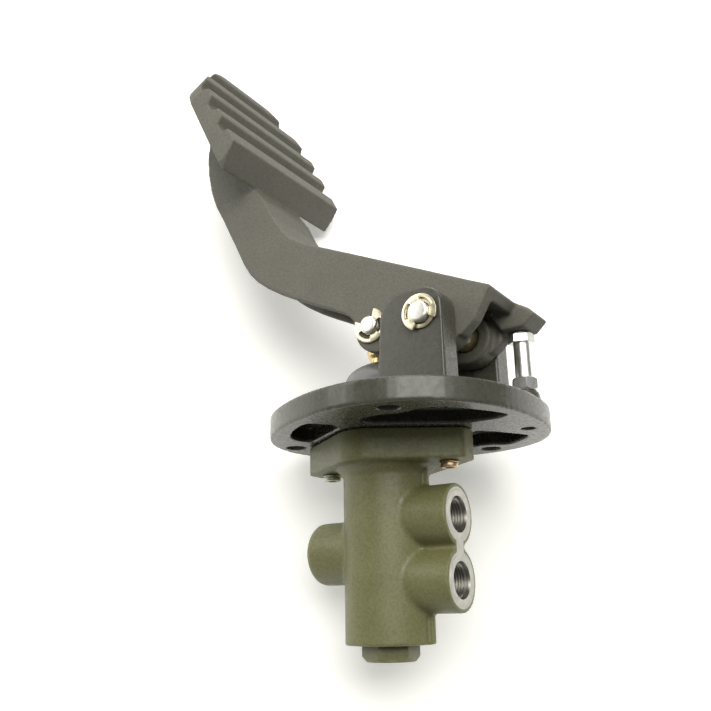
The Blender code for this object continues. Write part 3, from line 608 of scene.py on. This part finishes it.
# Turned and small parts
def pin(name, radius, end, groove, spot, mat, body, node):
    """A pin along Y, with a ring groove near each end."""
    deep, wide = radius * 0.74, 0.75
    half = [(0, end), (radius - 1.15, end), (radius - 0.9, end - 0.04), (radius - 0.35, end - 0.3),
            (radius - 0.08, end - 0.62), (radius, end - 1.0), (radius, groove + wide),
            (deep, groove + wide), (deep, groove - wide), (radius, groove - wide)]
    profile = half + [(r, -z) for r, z in reversed(half)]
    piece = from_profile(name, profile, 72, (spot[0], 0, spot[1]), "-Y")
    finish_piece(piece, body, [mat], [node], 30)


def ring_inner(angle, inner, grip):
    """Inner radius of a retaining ring: three prongs reach into the groove."""
    from_back = abs(angle - 180.0)
    away = min(from_back, abs(from_back - 125.0))
    half = 18.0 if from_back < 60.0 else 27.0
    share = min(max((away - half) / 7.0, 0.0), 1.0)
    return grip + (inner - grip) * share * share * (3 - 2 * share)


def e_ring(name, pin_radius, y, open_at, spot, body, node):
    """A retaining ring round a pin's groove, with its mouth at an angle from +X."""
    inner, grip, mouth, outer = E_RING_R - E_RING_BAND, pin_radius * 0.74 + 0.3, 42.0, E_RING_R
    steps = 92
    shape = bmesh.new()
    rows = []
    for i in range(steps + 1):
        angle = mouth + (360.0 - 2 * mouth) * i / steps
        a = math.radians(angle + open_at)
        near = ring_inner(angle, inner, grip)
        row = []
        for r, side in ((near, -1), (outer, -1), (outer, 1), (near, 1)):
            row.append(shape.verts.new(((spot[0] + r * math.cos(a)) * MM, (y + side * 0.45) * MM,
                                        (spot[1] + r * math.sin(a)) * MM)))
        rows.append(row)
    for one, two in zip(rows, rows[1:]):
        for k in range(4):
            shape.faces.new((one[k], one[(k + 1) % 4], two[(k + 1) % 4], two[k]))
    shape.faces.new(rows[0])
    shape.faces.new(rows[-1])
    bmesh.ops.recalc_face_normals(shape, faces=shape.faces)
    mesh = bpy.data.meshes.new(name)
    shape.to_mesh(mesh)
    shape.free()
    piece = place(bpy.data.objects.new(name, mesh))
    bevel(piece, 0.16, 2, 50)
    finish_piece(piece, body, ["ring"], [node], 30)


def sleeve(name, inner, outer, half, centre, spot, mat, body, node):
    """A tube along Y with its edges broken."""
    low, high = centre - half, centre + half
    edge = min(0.3, half * 0.4)
    profile = [(outer - edge, high), (outer - edge * 0.3, high - edge * 0.3), (outer, high - edge),
               (outer, low + edge), (outer - edge * 0.3, low + edge * 0.3), (outer - edge, low),
               (inner + edge * 0.5, low), (inner, low + edge * 0.5),
               (inner, high - edge * 0.5), (inner + edge * 0.5, high)]
    piece = from_profile(name, profile, 72, (spot[0], 0, spot[1]), "-Y")
    finish_piece(piece, body, [mat], [node], 30)


def make_pins():
    pin("pivot_pin_turned", PIVOT_R, PIVOT_END, PIVOT_GROOVE, PIVOT, "pin", "valve", "pivot_pin")
    pin("roller_pin_turned", ROLL_PIN_R, ROLL_PIN_END, ROLL_GROOVE, ROLL, "roll_pin", "pedal",
        "roller_pin")
    e_ring("pivot_clip_near", PIVOT_R, -PIVOT_GROOVE, -70, PIVOT, "valve", "pivot_ring_near")
    e_ring("pivot_clip_far", PIVOT_R, PIVOT_GROOVE, 60, PIVOT, "valve", "pivot_ring_far")
    e_ring("roller_clip_near", ROLL_PIN_R, -ROLL_GROOVE, 115, ROLL, "pedal", "roller_ring_near")
    e_ring("roller_clip_far", ROLL_PIN_R, ROLL_GROOVE, 140, ROLL, "pedal", "roller_ring_far")
    for side, sign in (("near", -1), ("far", 1)):
        sleeve("pivot_shim_" + side, PIVOT_R + 0.3, WASHER_R, 0.4, -sign * 36.7, PIVOT, "ring",
               "valve", "pivot_washer_" + side)
        sleeve("roller_tube_" + side, ROLL_PIN_R + 0.3, ROLLER_R - 0.2, 3.7, -sign * 11.5, ROLL,
               "ring", "pedal", "roller_spacer_" + side)
    sleeve("pivot_bushing", PIVOT_R + 0.3, BUSH_R, 21.7, 0, PIVOT, "bronze", "pedal",
           "pivot_bush")
    sleeve("roller_turned", ROLL_PIN_R + 0.3, ROLLER_R, 7.5, 0, ROLL, "roll_pin", "roller",
           "roller")


def hex_head(name, flats, low, high, spot, turn, top_cut, low_cut=0.0):
    """A hexagon whose corners are turned off at the top, and below by low_cut."""
    corner = flats / math.sqrt(3)
    outline = [(spot[0] + corner * math.cos(math.radians(turn + 60 * i)),
                spot[1] + corner * math.sin(math.radians(turn + 60 * i))) for i in range(6)]
    head = prism(name, outline, low, high)
    edge = flats / 2
    profile = [(0, high + 0.001), (edge - 0.25, high + 0.001), (corner + 0.3, high - top_cut)]
    if low_cut:
        profile += [(corner + 0.3, low + low_cut), (edge - 0.25, low - 0.001), (0, low - 0.001)]
    else:
        profile += [(corner + 0.3, low - 0.001), (0, low - 0.001)]
    cone = from_profile("cone", profile, 96, (spot[0], spot[1], 0))
    mod = head.modifiers.new("turned", "BOOLEAN")
    mod.operation = "INTERSECT"
    mod.solver = "EXACT"
    mod.object = cone
    bake(head)
    bpy.data.objects.remove(cone, do_unlink=True)
    return head


def make_stop():
    bolt = hex_head("stop_bolt_head", STOP_FLATS, 41.8, 46.5, STOP, 17.4, 1.5)
    shank = from_profile("shank", [(0, 42.3), (4.1, 42.3), (4.1, 3.7), (3.2, 2.8), (0, 2.8)],
                         64, (STOP[0], STOP[1], 0))
    merge(bolt, shank)
    bevel(bolt, 0.12, 1, 50)
    finish_piece(bolt, "valve", ["zinc"], ["stop_bolt"], 25)
    nut = hex_head("stop_nut_turned", STOP_FLATS, 17.8, 24.2, STOP, -2, 1.4, 1.4)
    hole = from_profile("hole", [(0, 40), (4.4, 40), (4.4, 10), (0, 10)], 64,
                        (STOP[0], STOP[1], 0))
    carve(nut, hole, solver="EXACT")
    bevel(nut, 0.12, 1, 50)
    finish_piece(nut, "valve", ["zinc"], ["stop_nut"], 25)


def make_flange_bolts():
    for name, x, mat in (("left", -FLANGE_BOLT_X, "pale_zinc"),
                         ("right", FLANGE_BOLT_X, "flange_zinc")):
        spot = (FLANGE_X + x, 0, 0)
        shim = from_profile("flange_shim_" + name,
                            [(SHIM_R - 0.2, -14.8), (SHIM_R, -15.0), (SHIM_R, -15.3),
                             (SHIM_R - 0.2, -15.5), (3.3, -15.5), (3.3, -14.8)], 64, spot)
        finish_piece(shim, "valve", [mat], ["flange_washer_" + name], 30)
        screw = from_profile("flange_screw_" + name,
                             [(0, 6.5), (2.3, 6.5), (SCREW_R, 5.8), (SCREW_R, -15.6),
                              (SCREW_HEAD_R - 0.2, -15.6), (SCREW_HEAD_R - 0.02, -15.7),
                              (SCREW_HEAD_R, -15.9), (SCREW_HEAD_R, -17.1),
                              (SCREW_HEAD_R - 0.1, -17.4), (SCREW_HEAD_R - 0.4, -17.6),
                              (0, -17.6)], 64, spot)
        socket = [(spot[0] + 2.42 * math.cos(math.radians(40 + 60 * i)),
                   2.42 * math.sin(math.radians(40 + 60 * i))) for i in range(6)]
        carve(screw, prism("socket", socket, -19.0, -16.4), solver="EXACT")
        finish_piece(screw, "valve", [mat], ["flange_bolt_" + name], 30)


def make_plug():
    plug = hex_head("hex_plug", PLUG_FLATS, -102.6, -95.7, (AX, 0), 36, 0.02, 2.8)
    shank = from_profile("shank", [(0, -86.4), (8.2, -86.4), (9.0, -87.2), (9.0, -88.6),
                                   (7.6, -88.6), (7.6, -91.4), (9.0, -91.4), (9.0, -96.7),
                                   (0, -96.7)], 72, (AX, 0, 0))
    merge(plug, shank)
    bevel(plug, 0.5, 2, 40)
    finish_piece(plug, "valve", ["body"], ["end_plug"], 30)


def dome(points, count):
    """A smooth run of points through a turned outline's corners."""
    out = []
    for i in range(len(points) - 1):
        p0 = Vector(points[max(i - 1, 0)])
        p1, p2 = Vector(points[i]), Vector(points[i + 1])
        p3 = Vector(points[min(i + 2, len(points) - 1)])
        for k in range(count):
            t = k / count
            out.append(tuple(0.5 * ((2 * p1) + (p2 - p0) * t + (2 * p0 - 5 * p1 + 4 * p2 - p3)
                                    * t * t + (3 * p1 - p0 - 3 * p2 + p3) * t ** 3)))
    out.append(tuple(points[-1]))
    return out


def make_boot():
    outer = dome([(BOOT_R + x, BOOT_TOP + z) for x, z in (
        (-11.2, -0.5), (-8.8, -1.4), (-5.2, -3.4), (-2.4, -6.0), (-0.6, -9.5), (0, -13.0),
        (0, -18.0), (0, -20.0))], 5)
    inner = dome([(18.0, 18.0), (18.0, 25.2), (17.5, 28.2), (16.1, 30.9), (13.6, 33.2),
                  (10.4, 35.0), (8.0, 35.8)], 4)
    profile = [(6.32, BOOT_TOP - 0.2), (6.6, BOOT_TOP), (7.6, BOOT_TOP), (8.1, BOOT_TOP - 0.2)]
    profile += outer
    profile += [(19.8, 13.9), (19.6, 13.7), (18.2, 13.7), (18.0, 13.9)] + inner + [(6.32, 36.2)]
    boot = from_profile("boot_moulding", profile, 96, (AX, 0, 0))
    finish_piece(boot, "valve", ["boot"], ["boot"], 50)
    band = from_profile("boot_band", [(21.1, 18.0), (21.3, 17.8), (21.3, 14.7), (21.1, 14.5),
                                      (20.1, 14.5), (20.1, 18.0)], 96, (AX, 0, 0))
    finish_piece(band, "valve", ["zinc"], ["boot_clamp"], 30)


def make_plunger():
    head = [(0, 0), (6.6, 0), (7.2, -0.15), (7.55, -0.5), (7.6, -0.8), (7.6, -3.2), (7.3, -3.6),
            (6.3, -4.4), (6.0, -4.8)]
    profile = [(r, PLUNGER_TOP + z) for r, z in head]
    profile += [(6.0, 9), (13.2, 9), (13.2, 7.4), (12, 7.4), (12, 5), (13.2, 5), (13.2, 3),
                (4.6, 3), (4.6, -9), (3.8, -10), (0, -10)]
    piece = from_profile("plunger_turned", profile, 72, (AX, 0, 0))
    finish_piece(piece, "plunger", ["brass"], ["plunger"], 30)


# CAD pieces that are shown as they are, with a finish
KEPT = {"plug_seal": "seal", "plunger_seal": "seal", "plunger_retainer": "steel",
        "outer_spring": "spring", "inner_spring": "spring", "return_spring": "spring",
        "spool": "steel", "spring_seat": "steel"}


def dress_kept():
    for node, name in KEPT.items():
        paint(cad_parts[node], name)


# Table, light and camera
TABLE_NORMAL = Vector((0.548, -0.817, 0.182)).normalized()
TABLE_REACH = 0.0642
TABLE_SIZE = 4.0
TABLE_GLOW = 0.34
LAMP_AIM = Vector((-0.01, 0.0, 0.05))
FOCAL_PIXELS, IMAGE_PIXELS, SENSOR_MM = 820.0, 711.0, 36.0
CAMERA_AT = Vector((191.68, -341.35, -79.37)) * MM
CAMERA_RIGHT = Vector((0.83502, 0.54990, -0.01848))
CAMERA_UP = Vector((0.17704, -0.23673, 0.95531))
CAMERA_BACK = Vector((0.52095, -0.80098, -0.29503))


def seen_rays(tree):
    """1 on camera, glossy and transmission rays, 0 on the rays that light things."""
    path = tree.nodes.new("ShaderNodeLightPath")
    total = path.outputs["Is Camera Ray"]
    for name in ("Is Glossy Ray", "Is Transmission Ray"):
        both = tree.nodes.new("ShaderNodeMath")
        both.operation = "MAXIMUM"
        tree.links.new(total, both.inputs[0])
        tree.links.new(path.outputs[name], both.inputs[1])
        total = both.outputs[0]
    return total


def make_table():
    """A white table behind the part, where the photograph's part lies; its back isn't seen."""
    bpy.ops.mesh.primitive_plane_add(size=TABLE_SIZE)
    table = bpy.context.object
    table.name = "table"
    table.rotation_mode = "QUATERNION"
    table.rotation_quaternion = TABLE_NORMAL.to_track_quat("Z", "Y")
    table.location = -TABLE_NORMAL * TABLE_REACH
    mat = bpy.data.materials.new("table_white")
    mat.use_nodes = True
    tree = mat.node_tree
    tree.nodes.remove(tree.nodes["Principled BSDF"])
    out = tree.nodes["Material Output"]
    diffuse = tree.nodes.new("ShaderNodeBsdfDiffuse")
    diffuse.inputs["Color"].default_value = (0.88, 0.88, 0.86, 1.0)
    glow = tree.nodes.new("ShaderNodeEmission")
    glow.inputs["Color"].default_value = (1.0, 1.0, 0.95, 1.0)
    level = tree.nodes.new("ShaderNodeMath")
    level.operation = "MULTIPLY"
    level.inputs[1].default_value = TABLE_GLOW
    tree.links.new(seen_rays(tree), level.inputs[0])
    tree.links.new(level.outputs[0], glow.inputs["Strength"])
    both = tree.nodes.new("ShaderNodeAddShader")
    tree.links.new(diffuse.outputs[0], both.inputs[0])
    tree.links.new(glow.outputs[0], both.inputs[1])
    clear = tree.nodes.new("ShaderNodeBsdfTransparent")
    side = tree.nodes.new("ShaderNodeNewGeometry")
    pick = tree.nodes.new("ShaderNodeMixShader")
    tree.links.new(side.outputs["Backfacing"], pick.inputs["Fac"])
    tree.links.new(both.outputs[0], pick.inputs[1])
    tree.links.new(clear.outputs[0], pick.inputs[2])
    tree.links.new(pick.outputs[0], out.inputs["Surface"])
    table.data.materials.append(mat)


def make_world():
    world = bpy.data.worlds.new("studio")
    bpy.context.scene.world = world
    world.use_nodes = True
    tree = world.node_tree
    back = tree.nodes["Background"]
    back.inputs["Color"].default_value = (1.0, 0.995, 0.96, 1.0)
    back.inputs["Strength"].default_value = 0.2
    plain = tree.nodes.new("ShaderNodeBackground")
    plain.inputs["Color"].default_value = (0.97, 0.97, 0.95, 1.0)
    path = tree.nodes.new("ShaderNodeLightPath")
    pick = tree.nodes.new("ShaderNodeMixShader")
    tree.links.new(path.outputs["Is Camera Ray"], pick.inputs["Fac"])
    tree.links.new(back.outputs[0], pick.inputs[1])
    tree.links.new(plain.outputs[0], pick.inputs[2])
    tree.links.new(pick.outputs[0], tree.nodes["World Output"].inputs["Surface"])


def lamp(name, direction, distance, size, power, colour):
    data = bpy.data.lights.new(name, "AREA")
    data.shape = "RECTANGLE"
    data.size, data.size_y = size
    data.energy = power
    data.color = colour
    obj = place(bpy.data.objects.new(name, data))
    away = Vector(direction).normalized()
    obj.location = LAMP_AIM + away * distance
    obj.rotation_mode = "QUATERNION"
    obj.rotation_quaternion = away.to_track_quat("Z", "Y")


def make_lights():
    lamp("key", (0.591, -0.730, 0.342), 1.3, (1.25, 0.8), 17.9, (1.0, 0.99, 0.95))
    lamp("left", (-0.57, -0.66, 0.42), 1.4, (0.6, 0.95), 5.2, (1.0, 0.99, 0.96))
    lamp("top", (0.1, -0.4, 0.95), 1.5, (1.2, 0.8), 11.2, (1.0, 0.99, 0.97))
    lamp("right", (0.95, -0.25, 0.20), 1.3, (0.6, 1.0), 0.7, (1.0, 0.99, 0.96))


def make_camera():
    data = bpy.data.cameras.new("camera")
    data.sensor_width = SENSOR_MM
    data.lens = FOCAL_PIXELS / IMAGE_PIXELS * SENSOR_MM
    data.clip_start, data.clip_end = 0.02, 20.0
    camera = place(bpy.data.objects.new("camera", data))
    turn = Matrix((CAMERA_RIGHT, CAMERA_UP, CAMERA_BACK)).transposed().to_4x4()
    camera.matrix_world = Matrix.Translation(CAMERA_AT) @ turn
    bpy.context.scene.camera = camera


bpy.context.scene.view_settings.view_transform = "Standard"
make_pedal()
make_plate()
make_body()
make_ports()
make_pins()
make_stop()
make_flange_bolts()
make_plug()
make_boot()
make_plunger()
dress_kept()
make_table()
make_world()
make_lights()
make_camera()
